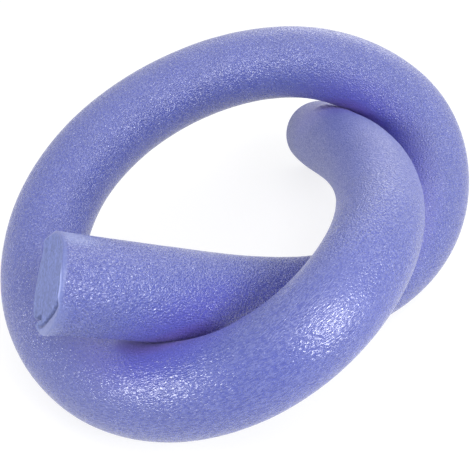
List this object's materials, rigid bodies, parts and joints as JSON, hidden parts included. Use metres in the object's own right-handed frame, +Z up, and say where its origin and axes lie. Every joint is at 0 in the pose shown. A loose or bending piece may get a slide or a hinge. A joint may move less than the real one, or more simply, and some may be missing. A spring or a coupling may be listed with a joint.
{
  "type": "pool noodle",
  "caption": "Solid round foam pool noodle, tied in a loose overhand knot and lying on a flat floor.",
  "frame": {"origin": "on the floor, under the middle of the noodle's box", "axes": "+Z up from the floor; -Y is the front, where the cut end and the front strand lie; +X is to the right"},
  "size_m": [0.3906, 0.4254, 0.1637],
  "materials": {
    "foam": "satin foam skin, periwinkle blue"
  },
  "bodies": {
    "root": {"noodle": "foam"}
  },
  "joints": []
}
